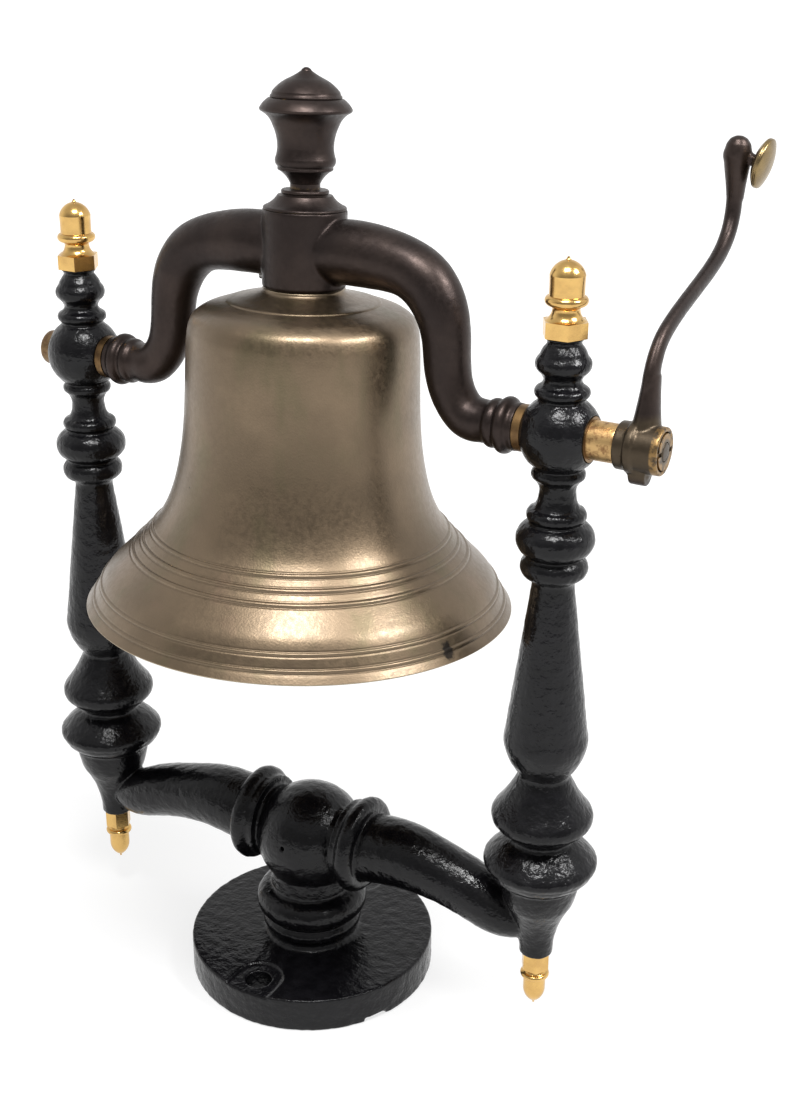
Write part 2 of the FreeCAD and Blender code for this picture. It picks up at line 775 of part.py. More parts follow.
def lofted(label, part):
    """An arm through the rings of its path, in the XZ plane."""
    rings = []
    for station, along, rise, slope, wide, thick in paths[part]:
        ring = doc.addObject("Part::Ellipse", f"{label}_{station}")
        place(ring, x=along, z=rise, turn=Rotation(AXIS_Y, 90 - value(slope)))
        ring.setExpression("Placement.Rotation.Angle", tied(f"90 - ({slope})"))
        bind(ring, MajorRadius=wide, MinorRadius=thick)
        rings.append(ring)
    loft = doc.addObject("Part::Loft", label)
    loft.Sections = rings
    loft.Solid = True
    return loft


def cylinder(label, radius, length, turn=UPRIGHT, **point):
    rod = doc.addObject("Part::Cylinder", label)
    bind(rod, Radius=radius, Height=length)
    place(rod, turn=turn, **point)
    return rod


def block(label, length, width, height, turn=UPRIGHT, **corner):
    box = doc.addObject("Part::Box", label)
    bind(box, Length=length, Width=width, Height=height)
    place(box, turn=turn, **corner)
    return box


def ring_of_metal(label, radius, section, turn=UPRIGHT, **point):
    torus = doc.addObject("Part::Torus", label)
    bind(torus, Radius1=radius, Radius2=section)
    place(torus, turn=turn, **point)
    return torus


def mirrored(label, source):
    copy = doc.addObject("Part::Mirroring", label)
    copy.Source = source
    copy.Normal = AXIS_X
    return copy


def fused(label, shapes):
    whole = doc.addObject("Part::MultiFuse", label)
    whole.Shapes = shapes
    return whole


def cut(label, base, tools):
    difference = doc.addObject("Part::Cut", label)
    difference.Base = base
    difference.Tool = tools[0] if len(tools) == 1 else fused(f"{label}_cuts", tools)
    return difference


def make_cradle():
    metal = [turned("cradle_core", "cradle_core")]
    tools = []
    arm = lofted("right_cradle_arm", "cradle_arm")
    metal += [arm, mirrored("left_cradle_arm", arm)]
    collar_level = "cradle_ball_height + collar_rise"
    step_length = "collar_distance - collar_step_distance"
    for side, sign, outward in (("left", "-", TO_LEFT), ("right", "", TO_RIGHT)):
        metal.append(ring_of_metal(
            f"{side}_collar", "collar_bead_reach - collar_bead_radius", "collar_bead_radius",
            turn=outward, x=f"{sign}collar_distance", z=collar_level,
        ))
        metal.append(cylinder(
            f"{side}_collar_step", "collar_step_radius", step_length,
            turn=outward, x=f"{sign}collar_step_distance", z=collar_level,
        ))
        cup = turned(f"{side}_cup", "cup")
        place(cup, x=f"{sign}post_half_spacing")
        metal.append(cup)
        tools.append(cylinder(
            f"{side}_stud_way", "stud_radius + bolt_clearance",
            "seat_height - cup_bottom_height + 2 * run_past",
            x=f"{sign}post_half_spacing", z="cup_bottom_height - run_past",
        ))
    for side, sign in (("front", "-"), ("back", "")):
        tools.append(cylinder(
            f"{side}_bolt_hole", "bolt_hole_radius", "base_thickness + 2 * run_past",
            y=f"{sign}bolt_circle_radius", z="-run_past",
        ))
        spot_floor = "base_thickness - spot_face_depth"
        tools.append(cylinder(
            f"{side}_spot_face", "spot_face_radius", "spot_face_depth + run_past",
            y=f"{sign}bolt_circle_radius", z=spot_floor,
        ))
        channel_length = "base_radius - bolt_circle_radius + run_past"
        channel_start = "bolt_circle_radius" if sign == "" else "-base_radius - run_past"
        tools.append(block(
            f"{side}_spot_channel", "2 * spot_face_radius", channel_length, "spot_face_depth + run_past",
            x="-spot_face_radius", y=channel_start, z=spot_floor,
        ))
    notch = block(
        "rim_notch", "rim_notch_depth + run_past", "rim_notch_width", "rim_notch_height + run_past",
    )
    direction = Placement(Vector(), Rotation(AXIS_Z, value("rim_notch_direction")))
    corner = Vector(
        value("base_radius - rim_notch_depth"),
        value("-rim_notch_width / 2"),
        value("-run_past"),
    )
    notch.Placement = direction * Placement(corner, UPRIGHT)
    tools.append(notch)
    tools.append(cylinder(
        "pin_hole", "pin_hole_radius", "pin_hole_depth + run_past",
        turn=TO_FRONT, y="pin_hole_depth - cradle_ball_radius", z="cradle_ball_height + pin_hole_rise",
    ))
    keep(cut("cradle_casting", fused("cradle_metal", metal), tools), "cradle")


def make_post(side, sign, to_yoke):
    post_axis = f"{sign}post_half_spacing"
    column = turned(f"{side}_column", "post")
    place(column, x=post_axis)
    bore_reach = "post_ball_radius + run_past"
    tools = [cylinder(
        f"{side}_bush_bore", "bush_outer_radius + thread_clearance", f"2 * ({bore_reach})",
        turn=TO_RIGHT, x=f"{post_axis} - ({bore_reach})", z="trunnion_height",
    )]
    for face, face_sign, outward in (("inner", "-", TO_LEFT), ("outer", "+", TO_RIGHT)):
        tools.append(cylinder(
            f"{side}_{face}_spot", "spot_radius", f"{bore_reach} - spot_distance",
            turn=outward, x=f"{post_axis} {face_sign} spot_distance", z="trunnion_height",
        ))
    keep(cut(f"{side}_post_casting", column, tools), f"{side}_post")

    sleeve = turned(f"{side}_bush_sleeve", "bush")
    place(sleeve, x=post_axis, z="trunnion_height", turn=to_yoke)
    oil_hole = cylinder(
        f"{side}_oil_hole", "oil_way_radius", "bush_outer_radius + run_past",
        x=post_axis, z="trunnion_height",
    )
    keep(cut(f"{side}_bush_drilled", sleeve, [oil_hole]), f"{side}_bush")

    stud = cylinder(
        f"{side}_stud", "stud_radius",
        "seat_height + stud_depth_in_post - cup_bottom_height + stud_depth_in_nut",
        x=post_axis, z="cup_bottom_height - stud_depth_in_nut",
    )
    keep(stud, f"{side}_post_stud")


def make_acorn(label, part, hexagon, extra):
    """A hexagon with a turned dome on it, standing on the XY plane."""
    prism = doc.addObject("Part::Prism", f"{label}_hexagon")
    prism.Polygon = 6
    bind(prism, Circumradius=f"{hexagon}_hex_radius", Height=f"{hexagon}_hex_height")
    return fused(f"{label}_metal", [prism, turned(f"{label}_dome", part)] + extra)


def make_acorns(side, sign):
    post_axis = f"{sign}post_half_spacing"
    spigot = cylinder(
        f"{side}_plug_spigot", "oil_plug_radius", "oil_plug_length + plug_hex_height / 2",
        z="-oil_plug_length",
    )
    plug = make_acorn(f"{side}_plug", "plug_dome", "plug", [spigot])
    place(plug, x=post_axis, z=POST_TOP)
    keep(plug, f"{side}_top_acorn")

    blank = make_acorn(f"{side}_foot", "foot_dome", "foot", [])
    thread = cylinder(
        f"{side}_foot_thread", "stud_radius + thread_clearance",
        "stud_depth_in_nut + stud_hole_run_out + run_past", z="-run_past",
    )
    nut = cut(f"{side}_foot_nut", blank, [thread])
    place(nut, x=post_axis, z="cup_bottom_height", turn=UPSIDE_DOWN)
    keep(nut, f"{side}_foot_acorn")


def index_pin_way(label, radius, start, end, frame):
    """A rod at the index pin's place in the swinging frame, from one radius to another."""
    rod = doc.addObject("Part::Cylinder", label)
    bind(rod, Radius=radius, Height=f"({end}) - ({start})")
    direction = Placement(Vector(), Rotation(AXIS_Z, value("index_pin_direction")))
    rod.Placement = frame * direction * Placement(Vector(value(start), 0, value("index_pin_level")), TO_RIGHT)
    return rod


def make_yoke():
    arm = lofted("right_yoke_arm", "yoke_arm")
    metal = [turned("yoke_hub", "yoke_hub"), arm, mirrored("left_yoke_arm", arm)]
    for side, outward in (("left", TO_LEFT), ("right", TO_RIGHT)):
        for part in ("trunnion_beads", f"{side}_journal"):
            turning = turned(f"{side}_{part}_turning", part)
            place(turning, turn=outward)
            metal.append(turning)
    tools = [
        cylinder("stem_way", STEM_HOLE, "hub_top - hub_bottom + 2 * run_past", z="hub_bottom - run_past"),
        cylinder(
            "spigot_counterbore", "spigot_radius + bolt_clearance", "spigot_height + spigot_gap + run_past",
            z="hub_bottom - run_past",
        ),
        index_pin_way(
            "yoke_pin_way", "index_pin_radius + thread_clearance", "index_pin_inner",
            "hub_radius + run_past", Placement(),
        ),
        key_block("shaft_keyway", "crank_key_inset - thread_clearance", "thread_clearance"),
    ]
    yoke = cut("yoke_casting", fused("yoke_metal", metal), tools)
    hang(yoke)
    keep(yoke, "yoke")


def key_block(label, inset, clearance):
    """The crank's key, or the room for it, half sunk in the shaft on its back."""
    return block(
        label, f"crank_key_length + 2 * ({clearance})", f"crank_key_size + 2 * ({clearance})",
        f"crank_key_size + 2 * ({clearance})", x=f"{CRANK_SHOULDER} + {inset}",
        y=f"crank_seat_radius - crank_key_size / 2 - ({clearance})",
        z=f"-crank_key_size / 2 - ({clearance})",
    )


def make_bell():
    pin_way = index_pin_way(
        "bell_pin_way", "index_pin_radius + thread_clearance", "index_pin_inner - thread_clearance",
        "spigot_radius + run_past", Placement(),
    )
    bell = cut("drilled_bell", turned("bell_casting", "bell_casting"), [pin_way])
    hang(bell)
    keep(bell, "bell")

    for part, label in (
        ("crown_washer", "crown_washer"), ("dome_washer", "finial_washer"), ("finial", "finial"),
    ):
        turning = turned(f"{label}_body", part)
        hang(turning)
        keep(turning, label)

    pin = index_pin_way("pin", "index_pin_radius", "index_pin_inner", "index_pin_outer", hanging_frame())
    keep(pin, "index_pin")


def make_suspension():
    fork_half = "fork_gap / 2 + fork_cheek"
    fork_height = "crown_underside - crown_washer_thickness - stem_flange_thickness / 2 - clapper_pin_level"
    metal = [
        turned("stem_turning", "stem_turning"),
        block(
            "fork_cheeks", f"2 * ({fork_half})", "fork_depth", fork_height,
            x=f"-({fork_half})", y="-fork_depth / 2", z="clapper_pin_level",
        ),
        cylinder(
            "fork_ends", "fork_depth / 2", f"2 * ({fork_half})",
            turn=TO_RIGHT, x=f"-({fork_half})", z="clapper_pin_level",
        ),
    ]
    tools = [
        block(
            "fork_slot", "fork_gap", "fork_depth + 2 * run_past",
            "fork_depth / 2 + run_past + fork_head_room",
            x="-fork_gap / 2", y="-fork_depth / 2 - run_past",
            z="clapper_pin_level - fork_depth / 2 - run_past",
        ),
        cylinder(
            "fork_pin_hole", "clapper_pin_radius + thread_clearance", f"2 * ({fork_half} + run_past)",
            turn=TO_RIGHT, x=f"-({fork_half} + run_past)", z="clapper_pin_level",
        ),
    ]
    stem = cut("forked_stem", fused("stem_metal", metal), tools)
    hang(stem)
    keep(stem, "bell_stem")

    cotter_place = f"{fork_half} + clapper_pin_overhang - cotter_edge"
    pin_metal = fused("clapper_pin_metal", [
        cylinder(
            "clapper_pin_shank", "clapper_pin_radius", f"2 * ({fork_half}) + clapper_pin_overhang",
            turn=TO_RIGHT, x=f"-({fork_half})", z="clapper_pin_level",
        ),
        cylinder(
            "clapper_pin_head", "clapper_pin_head_radius", "clapper_pin_head_thickness",
            turn=TO_LEFT, x=f"-({fork_half})", z="clapper_pin_level",
        ),
    ])
    cotter_way = cylinder(
        "cotter_way", "cotter_radius + thread_clearance", "2 * (clapper_pin_radius + run_past)",
        x=cotter_place, z="clapper_pin_level - clapper_pin_radius - run_past",
    )
    pin = cut("drilled_clapper_pin", pin_metal, [cotter_way])
    hang(pin)
    keep(pin, "clapper_pin")

    cotter_top = "clapper_pin_level + cotter_length / 2"
    cotter = fused("cotter_metal", [
        cylinder(
            "cotter_legs", "cotter_radius", "cotter_length",
            x=cotter_place, z="clapper_pin_level - cotter_length / 2",
        ),
        ring_of_metal(
            "cotter_eye", "cotter_eye_radius", "cotter_radius",
            turn=TO_FRONT, x=cotter_place, z=f"{cotter_top} + cotter_eye_radius",
        ),
    ])
    hang(cotter)
    keep(cotter, "clapper_cotter")


def make_clapper():
    eye_half = "fork_gap / 2 - eye_side_clearance"
    metal = fused("clapper_metal", [
        turned("clapper_turning", "clapper_turning"),
        cylinder("clapper_eye", "eye_radius", f"2 * ({eye_half})", turn=TO_RIGHT, x=f"-({eye_half})"),
    ])
    bore = cylinder(
        "clapper_bore", "clapper_pin_radius + running_clearance", f"2 * ({eye_half} + run_past)",
        turn=TO_RIGHT, x=f"-({eye_half} + run_past)",
    )
    clapper = cut("bored_clapper", metal, [bore])
    place(
        clapper,
        y="clapper_pin_level * sin(hang_angle)",
        z="trunnion_height + clapper_pin_level * cos(hang_angle)",
    )
    keep(clapper, "clapper")


def make_crank():
    arm = lofted("crank_arm", "crank_arm")
    # The arm's own X points up and its Z to the back, so its thickness lies along the trunnions
    place(arm, x=CRANK_PLANE, turn=Rotation(Vector(1, 1, 1), 240))
    head = doc.addObject("Part::Sphere", "crank_head")
    bind(head, Radius="crank_head_radius")
    place(head, x=CRANK_PLANE, y="crank_head_side", z="crank_head_level")
    boss = doc.addObject("Part::Cone", "crank_boss")
    bind(boss, Radius1="crank_boss_radius", Radius2="crank_boss_neck", Height="crank_boss_length")
    place(boss, x=CRANK_PLANE, y="crank_head_side", z="crank_head_level", turn=TO_RIGHT)
    metal = fused("crank_metal", [
        cylinder(
            "crank_hub", "crank_hub_radius", "crank_hub_length",
            turn=TO_RIGHT, x=CRANK_SHOULDER,
        ),
        cylinder(
            "crank_rib", "crank_rib_radius", "crank_rib_width",
            turn=TO_RIGHT, x=f"{CRANK_SHOULDER} + crank_rib_inset",
        ),
        cylinder(
            "crank_tail", "crank_tail_radius", "crank_tail_thickness",
            turn=TO_RIGHT, x=f"{CRANK_PLANE} - crank_tail_thickness / 2", z="-crank_tail_drop",
        ),
        arm,
        head,
        boss,
    ])
    tools = [
        cylinder(
            "crank_bore", "crank_seat_radius + thread_clearance", "crank_hub_length + 2 * run_past",
            turn=TO_RIGHT, x=f"{CRANK_SHOULDER} - run_past",
        ),
        cylinder(
            "crank_recess", "crank_recess_radius", "crank_recess_depth + run_past",
            turn=TO_RIGHT, x=RECESS_FLOOR,
        ),
        key_block("crank_keyway", "crank_key_inset - thread_clearance", "thread_clearance"),
        cylinder(
            "rivet_hole", "button_rivet_radius + thread_clearance", "button_rivet_depth + run_past",
            turn=TO_LEFT, x=f"{CRANK_PLANE} + crank_boss_length + run_past - thread_clearance",
            y="crank_head_side", z="crank_head_level",
        ),
    ]
    crank = cut("crank_casting", metal, tools)
    hang(crank)
    keep(crank, "crank")

    key = key_block("key", "crank_key_inset", "0")
    hang_by_frame(key)
    keep(key, "crank_key")


def make_crank_fastenings():
    disc = cylinder("nut_disc", "crank_nut_radius", "crank_nut_thickness", turn=TO_RIGHT, x=RECESS_FLOOR)
    tools = [
        cylinder(
            "nut_thread", "crank_thread_radius + thread_clearance", "crank_nut_thickness + 2 * run_past",
            turn=TO_RIGHT, x=f"{RECESS_FLOOR} - run_past",
        ),
        block(
            "nut_slot", "crank_nut_slot_depth + run_past", "2 * (crank_nut_radius + run_past)",
            "crank_nut_slot_width",
            x=f"{RECESS_FLOOR} + crank_nut_thickness - crank_nut_slot_depth",
            y="-crank_nut_radius - run_past", z="-crank_nut_slot_width / 2",
        ),
    ]
    nut = cut("slotted_nut", disc, tools)
    hang(nut)
    keep(nut, "crank_nut")

    button = turned("button_turning", "rope_button")
    place(
        button, x=f"{CRANK_PLANE} + crank_boss_length", y="crank_head_side", z="crank_head_level",
        turn=TO_RIGHT,
    )
    hang_by_frame(button)
    keep(button, "rope_button")


def check_and_write():
    doc.recompute()
    for thing in doc.Objects:
        if "Invalid" in thing.State or "Error" in thing.State:
            raise RuntimeError(f"{thing.Label} failed: {thing.State}")
    for piece in pieces:
        if piece.Shape.isNull() or not piece.Shape.isValid() or len(piece.Shape.Solids) != 1:
            raise RuntimeError(f"{piece.Label} isn't one sound solid")
    os.makedirs("parts", exist_ok=True)
    for piece in pieces:
        piece.Shape.exportStep(f"parts/{piece.Label}.step")


make_cradle()
for post_side, post_sign, towards_yoke in (("left", "-", TO_RIGHT), ("right", "", TO_LEFT)):
    make_post(post_side, post_sign, towards_yoke)
    make_acorns(post_side, post_sign)
make_yoke()
make_bell()
make_suspension()
make_clapper()
make_crank()
make_crank_fastenings()
check_and_write()
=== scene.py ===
import json
import math

import bmesh
import bpy
import numpy as np
from mathutils import Matrix, Vector


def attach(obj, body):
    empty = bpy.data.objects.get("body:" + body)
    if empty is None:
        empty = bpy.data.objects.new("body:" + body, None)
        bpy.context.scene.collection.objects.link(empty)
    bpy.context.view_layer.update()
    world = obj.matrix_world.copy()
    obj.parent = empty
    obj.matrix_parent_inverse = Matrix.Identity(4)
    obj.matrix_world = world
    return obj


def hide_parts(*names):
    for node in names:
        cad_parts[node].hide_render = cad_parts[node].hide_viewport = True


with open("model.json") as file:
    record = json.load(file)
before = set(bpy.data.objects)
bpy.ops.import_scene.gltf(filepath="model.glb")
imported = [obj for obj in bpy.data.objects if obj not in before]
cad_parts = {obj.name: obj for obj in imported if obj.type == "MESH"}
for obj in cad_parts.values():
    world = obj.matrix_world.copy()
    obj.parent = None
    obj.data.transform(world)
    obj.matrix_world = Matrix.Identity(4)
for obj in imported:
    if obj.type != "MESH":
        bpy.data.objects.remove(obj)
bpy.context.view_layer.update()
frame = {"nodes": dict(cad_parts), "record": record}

# Metres and degrees, in the row frame. The bell hangs on the trunnions, which lie along X, and leans back.
TRUNNION = Vector((0.0, 0.0, 0.6665))
HANG_ANGLE = math.radians(2.9)
CAMERA_AZIMUTH = math.radians(29.51)
CAMERA_ELEVATION = math.radians(22.36)
CAMERA_ROLL = math.radians(0.30)
CAMERA_TARGET = Vector((0.1559, -0.0952, 0.5633))
CAMERA_DISTANCE = 1.4172
CAMERA_LENS = 51.06
# A near-black patch on the bell's lip, with the bell upright and measured from the trunnions
LIP_DARK_PATCH = Vector((0.2010, -0.0585, -0.2070))
# Along the trunnions: where they come out of the posts, and where the crank begins
POST_FACE = 0.3050
CRANK_START = 0.3310
FLOOR_SIZE = 60.0
FLOOR_GREY = 0.32
ROOM_AZIMUTH = math.radians(-62.0)
ROOM_STRENGTH = 0.32
BACKDROP_STRENGTH = 1.0
CEILING_STRENGTH = 0.66


# Shader nodes

def new_material(name):
    material = bpy.data.materials.new(name)
    material.use_nodes = True
    material.node_tree.nodes.clear()
    return material, material.node_tree


def add(tree, kind, inputs=None, **settings):
    """A shader node. An input is a number, a colour or another node's output."""
    made = tree.nodes.new(f"ShaderNode{kind}")
    for name, setting in settings.items():
        setattr(made, name, setting)
    for name, given in (inputs or {}).items():
        if isinstance(given, bpy.types.NodeSocket):
            tree.links.new(given, made.inputs[name])
        else:
            made.inputs[name].default_value = given
    return made


def own_place(tree):
    """The place on the object, in metres, which stays with the piece when it moves."""
    return add(tree, "TexCoord").outputs["Object"]


def upright_place(tree):
    """The place in the swinging frame with the bell upright, measured from the trunnions."""
    return add(
        tree, "Mapping",
        {"Vector": own_place(tree), "Location": TRUNNION, "Rotation": (-HANG_ANGLE, 0.0, 0.0)},
        vector_type="TEXTURE",
    ).outputs["Vector"]


def clouds(tree, place, scale, detail=4.0, roughness=0.55, stretch=(1.0, 1.0, 1.0)):
    stretched = add(tree, "Mapping", {"Vector": place, "Scale": stretch}).outputs["Vector"]
    texture = add(tree, "TexNoise", {
        "Vector": stretched, "Scale": scale, "Detail": detail, "Roughness": roughness,
    })
    return texture.outputs["Fac"]


def cells(tree, place, scale, feature="F1"):
    texture = add(tree, "TexVoronoi", {"Vector": place, "Scale": scale}, feature=feature)
    return texture.outputs["Distance"]


def graded(tree, fac, low, high, to_low=0.0, to_high=1.0):
    """A smooth step from one value to another."""
    return add(tree, "MapRange", {
        "Value": fac, "From Min": low, "From Max": high, "To Min": to_low, "To Max": to_high,
    }, interpolation_type="SMOOTHSTEP").outputs["Result"]


def maths(tree, operation, first, second):
    """A number worked out from two others."""
    made = add(tree, "Math", operation=operation)
    for socket, given in zip(made.inputs, (first, second)):
        if isinstance(given, bpy.types.NodeSocket):
            tree.links.new(given, socket)
        else:
            socket.default_value = given
    return made.outputs[0]


def blended(tree, fac, first, second, blend_type="MIX"):
    """A colour between two others."""
    made = add(tree, "Mix", data_type="RGBA", blend_type=blend_type)
    for index, given in ((0, fac), (6, first), (7, second)):
        if isinstance(given, bpy.types.NodeSocket):
            tree.links.new(given, made.inputs[index])
        elif index == 0:
            made.inputs[index].default_value = given
        else:
            made.inputs[index].default_value = (*given, 1.0)
    return made.outputs[2]


def bumped(tree, height, depth, under=None):
    inputs = {"Height": height, "Strength": 1.0, "Distance": depth}
    if under is not None:
        inputs["Normal"] = under
    return add(tree, "Bump", inputs).outputs["Normal"]


def finished(tree, colour, roughness, normal, **fixed):
    """The surface itself. What is the same all over is set on its own socket."""
    surface = add(tree, "BsdfPrincipled", {"Base Color": colour, "Roughness": roughness, "Normal": normal})
    for name, given in fixed.items():
        surface.inputs[name.replace("_", " ")].default_value = given
    output = add(tree, "OutputMaterial")
    tree.links.new(surface.outputs[0], output.inputs["Surface"])
    return surface


# Finishes

def make_bell_bronze():
    material, tree = new_material("bell_bronze")
    place = upright_place(tree)
    broad = clouds(tree, place, 9.0, 3.0)
    drift = clouds(tree, place, 26.0, 5.0, stretch=(1.0, 1.0, 0.35))
    fine = clouds(tree, place, 190.0, 4.0, 0.7)
    speck = cells(tree, place, 520.0)
    colour = blended(tree, graded(tree, broad, 0.35, 0.65), (0.165, 0.120, 0.076), (0.220, 0.160, 0.102))
    colour = blended(tree, graded(tree, drift, 0.50, 0.74, 0.0, 0.55), colour, (0.142, 0.122, 0.066))
    colour = blended(tree, graded(tree, drift, 0.42, 0.22, 0.0, 0.35), colour, (0.245, 0.160, 0.112))
    edge = add(tree, "NewGeometry").outputs["Pointiness"]
    colour = blended(tree, graded(tree, edge, 0.515, 0.57, 0.0, 0.8), colour, (0.500, 0.400, 0.265))
    colour = blended(tree, graded(tree, edge, 0.485, 0.43, 0.0, 0.85), colour, (0.050, 0.038, 0.024))
    # A near-black patch painted at one place on the bell's lip, fading out at its uneven edge
    dark_patch = add(tree, "VectorMath", {0: place, 1: LIP_DARK_PATCH}, operation="SUBTRACT").outputs[0]
    dark_patch = add(tree, "VectorMath", {0: dark_patch, 1: (140.0, 140.0, 75.0)}, operation="MULTIPLY").outputs[0]
    dark_patch = add(tree, "VectorMath", {0: dark_patch}, operation="LENGTH").outputs["Value"]
    dark_patch = maths(tree, "ADD", dark_patch, clouds(tree, place, 220.0, 3.0))
    colour = blended(tree, graded(tree, dark_patch, 1.55, 1.15, 0.0, 0.9), colour, (0.012, 0.010, 0.009))
    pits = graded(tree, cells(tree, place, 34.0), 0.055, 0.025)
    pit_size = graded(tree, clouds(tree, place, 60.0, 2.0), 0.50, 0.60)
    pits = maths(tree, "MULTIPLY", pits, pit_size)
    colour = blended(tree, pits, colour, (0.030, 0.020, 0.014))
    roughness = graded(tree, fine, 0.3, 0.7, 0.34, 0.47)
    height = maths(tree, "SUBTRACT", maths(tree, "MULTIPLY", fine, 0.6), pits)
    normal = bumped(tree, height, 0.00018)
    normal = bumped(tree, speck, 0.00007, normal)
    finished(tree, colour, roughness, normal, Metallic=1.0, Coat_Weight=0.35, Coat_Roughness=0.3)
    return material


def make_brown_bronze():
    material, tree = new_material("brown_bronze")
    place = own_place(tree)
    broad = clouds(tree, place, 16.0, 4.0)
    fine = clouds(tree, place, 240.0, 4.0, 0.65)
    edge = add(tree, "NewGeometry").outputs["Pointiness"]
    patches = graded(tree, clouds(tree, place, 90.0), 0.4, 0.6)
    worn = maths(tree, "MULTIPLY", graded(tree, edge, 0.53, 0.62), patches)
    colour = blended(tree, graded(tree, broad, 0.3, 0.7), (0.030, 0.022, 0.020), (0.050, 0.036, 0.031))
    colour = blended(tree, worn, colour, (0.230, 0.150, 0.060))
    along = add(tree, "SeparateXYZ", {"Vector": place}).outputs["X"]
    from_trunnion = add(tree, "VectorMath", {0: place, 1: TRUNNION}, operation="SUBTRACT").outputs[0]
    across = add(tree, "VectorMath", {0: from_trunnion, 1: (0.0, 1.0, 1.0)}, operation="MULTIPLY").outputs[0]
    axis_distance = add(tree, "VectorMath", {0: across}, operation="LENGTH").outputs["Value"]
    on_crank = graded(tree, along, CRANK_START - 0.0001, CRANK_START + 0.0002)
    hub = maths(tree, "MULTIPLY", on_crank, graded(tree, axis_distance, 0.034, 0.025, 0.0, 0.8))
    colour = blended(tree, hub, colour, (0.080, 0.060, 0.038))
    ring = graded(tree, along, 0.3655, 0.3672)
    for low, high in ((0.0105, 0.0130), (0.0250, 0.0225)):
        ring = maths(tree, "MULTIPLY", ring, graded(tree, axis_distance, low, high))
    ring = maths(tree, "MULTIPLY", ring, graded(tree, clouds(tree, place, 150.0, 3.0), 0.36, 0.56))
    colour = blended(tree, ring, colour, (0.300, 0.185, 0.075))
    journal = graded(tree, along, POST_FACE - 0.0007, POST_FACE)
    journal = maths(tree, "MULTIPLY", journal, graded(tree, along, CRANK_START, CRANK_START - 0.0002))
    journal = maths(tree, "MAXIMUM", journal, graded(tree, along, 0.0007 - POST_FACE, -POST_FACE))
    blotch = graded(tree, clouds(tree, place, 120.0, 5.0, 0.7), 0.44, 0.64, 0.0, 0.85)
    bare = blended(tree, blotch, (0.58, 0.375, 0.160), (0.200, 0.095, 0.040))
    colour = blended(tree, journal, colour, bare)
    stub = graded(tree, along, 0.0007 - POST_FACE, -POST_FACE, 0.0, 0.75)
    colour = blended(tree, stub, colour, (0.110, 0.068, 0.040))
    roughness = graded(tree, fine, 0.3, 0.7, 0.33, 0.46)
    normal = bumped(tree, fine, 0.00012)
    finished(tree, colour, roughness, normal, Metallic=0.85)
    return material


def make_black_paint():
    material, tree = new_material("black_paint")
    place = own_place(tree)
    lumps = clouds(tree, place, 85.0, 3.0, 0.6)
    peel = clouds(tree, place, 330.0, 2.0, 0.5)
    colour = blended(tree, graded(tree, lumps, 0.35, 0.7), (0.0030, 0.0028, 0.0036), (0.0060, 0.0057, 0.0070))
    roughness = graded(tree, clouds(tree, place, 40.0), 0.3, 0.7, 0.15, 0.28)
    normal = bumped(tree, lumps, 0.0007)
    normal = bumped(tree, peel, 0.0005, normal)
    finished(tree, colour, roughness, normal, Specular_IOR_Level=0.28)
    return material


def make_brass(name, bright, dull, rough_low, rough_high, depth):
    material, tree = new_material(name)
    place = own_place(tree)
    broad = clouds(tree, place, 60.0, 4.0)
    fine = clouds(tree, place, 420.0, 3.0, 0.6, stretch=(1.0, 1.0, 5.0))
    colour = blended(tree, graded(tree, broad, 0.35, 0.7), bright, dull)
    roughness = graded(tree, fine, 0.3, 0.7, rough_low, rough_high)
    finished(tree, colour, roughness, bumped(tree, fine, depth), Metallic=1.0)
    return material


def make_steel():
    material, tree = new_material("steel")
    fine = clouds(tree, own_place(tree), 300.0, 3.0)
    colour = blended(tree, graded(tree, fine, 0.3, 0.7), (0.32, 0.31, 0.30), (0.42, 0.41, 0.39))
    roughness = graded(tree, fine, 0.3, 0.7, 0.34, 0.48)
    finished(tree, colour, roughness, bumped(tree, fine, 0.00008), Metallic=1.0)
    return material


def make_clapper_iron():
    material, tree = new_material("clapper_iron")
    place = own_place(tree)
    lumps = clouds(tree, place, 120.0, 4.0)
    rust = graded(tree, clouds(tree, place, 45.0), 0.5, 0.7, 0.0, 0.7)
    colour = blended(tree, rust, (0.060, 0.054, 0.050), (0.105, 0.050, 0.026))
    roughness = graded(tree, lumps, 0.3, 0.7, 0.5, 0.7)
    finished(tree, colour, roughness, bumped(tree, lumps, 0.0006), Metallic=0.5)
    return material


FINISHES = {
    "bell_bronze": make_bell_bronze(),
    "brown_bronze": make_brown_bronze(),
    "black_paint": make_black_paint(),
    "polished_brass": make_brass(
        "polished_brass", (0.72, 0.46, 0.16), (0.60, 0.37, 0.13), 0.15, 0.26, 0.00003,
    ),
    "button_brass": make_brass(
        "button_brass", (0.30, 0.215, 0.10), (0.20, 0.145, 0.075), 0.24, 0.36, 0.00004,
    ),
    "bearing_bronze": make_brass(
        "bearing_bronze", (0.24, 0.145, 0.062), (0.12, 0.070, 0.035), 0.32, 0.45, 0.00006,
    ),
    "steel": make_steel(),
    "clapper_iron": make_clapper_iron(),
}


SLOT_OF = {row["node"]: row["material_slot"] for row in frame["record"]["subparts"]}
BODY_OF = {node: body for body, nodes in frame["record"]["behaviour"]["bodies"].items() for node in nodes}


def dress(mesh, node):
    """Gives a mesh the finish of its node's slot."""
    mesh.materials.clear()
    mesh.materials.append(FINISHES[SLOT_OF[node]])


def stand_in(node, mesh):
    """A finer piece that is shown in place of a CAD node."""
    piece = bpy.data.objects.new(f"{node}_detailed", mesh)
    bpy.context.scene.collection.objects.link(piece)
    dress(mesh, node)
    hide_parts(node)
    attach(piece, BODY_OF[node])
    return piece


# Shapes. Those of the swinging frame are given upright, in millimetres from the trunnions, and then hung.

